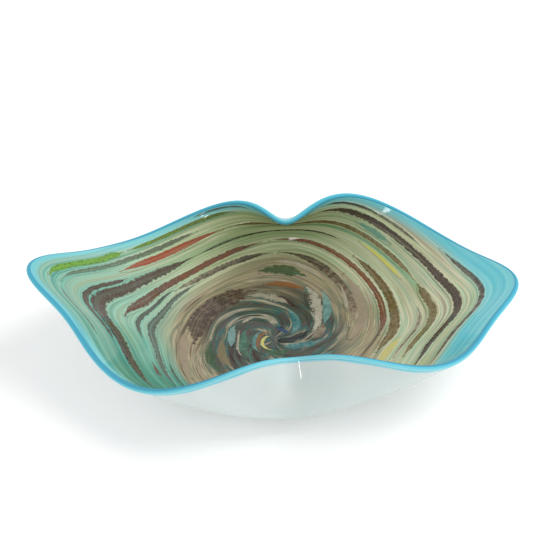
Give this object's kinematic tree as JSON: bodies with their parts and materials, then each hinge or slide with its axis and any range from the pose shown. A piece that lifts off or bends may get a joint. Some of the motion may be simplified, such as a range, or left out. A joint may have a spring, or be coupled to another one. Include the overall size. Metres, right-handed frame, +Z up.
{
  "type": "art glass bowl",
  "caption": "Free-form art glass bowl, pulled out at two tips and pinched in at both sides, white outside with a swirl of coloured canes inside and an aqua lip.",
  "frame": {"origin": "centre of the ground pad, on the surface that the bowl stands on", "axes": "+X towards the right tip, along the bowl's length; +Y towards the back crease; +Z up"},
  "size_m": [0.4068, 0.2666, 0.0835],
  "materials": {
    "opal_white_glass": "opaque white glass, fire polished",
    "aqua_glass": "opaque aqua and celadon glass, fire polished",
    "turquoise_lip_glass": "turquoise glass, fire polished",
    "ground_pad_glass": "ground flat and polished",
    "lime_glass": "glossy",
    "smoke_glass": "glossy",
    "scarlet_glass": "glossy",
    "cocoa_glass": "glossy, with coppery flecks",
    "rust_glass": "glossy, with coppery flecks",
    "olive_glass": "glossy, with coppery flecks",
    "plum_glass": "glossy",
    "charcoal_glass": "glossy",
    "lemon_glass": "glossy",
    "emerald_glass": "glossy",
    "teal_glass": "glossy",
    "cream_glass": "glossy",
    "amber_glass": "glossy",
    "midnight_glass": "glossy"
  },
  "bodies": {
    "root": {"opal_casing": "opal_white_glass", "aqua_gather": "aqua_glass", "rim_lip": "turquoise_lip_glass", "punty_pad": "ground_pad_glass", "lime_cane": "lime_glass", "smoke_canes": "smoke_glass", "scarlet_cane": "scarlet_glass", "cocoa_canes": "cocoa_glass", "rust_canes": "rust_glass", "olive_canes": "olive_glass", "plum_bands": "plum_glass", "dark_threads": "charcoal_glass", "lemon_canes": "lemon_glass", "emerald_smears": "emerald_glass", "teal_arms": "teal_glass", "cream_lace": "cream_glass", "amber_arcs": "amber_glass", "midnight_heart": "midnight_glass"}
  },
  "joints": []
}
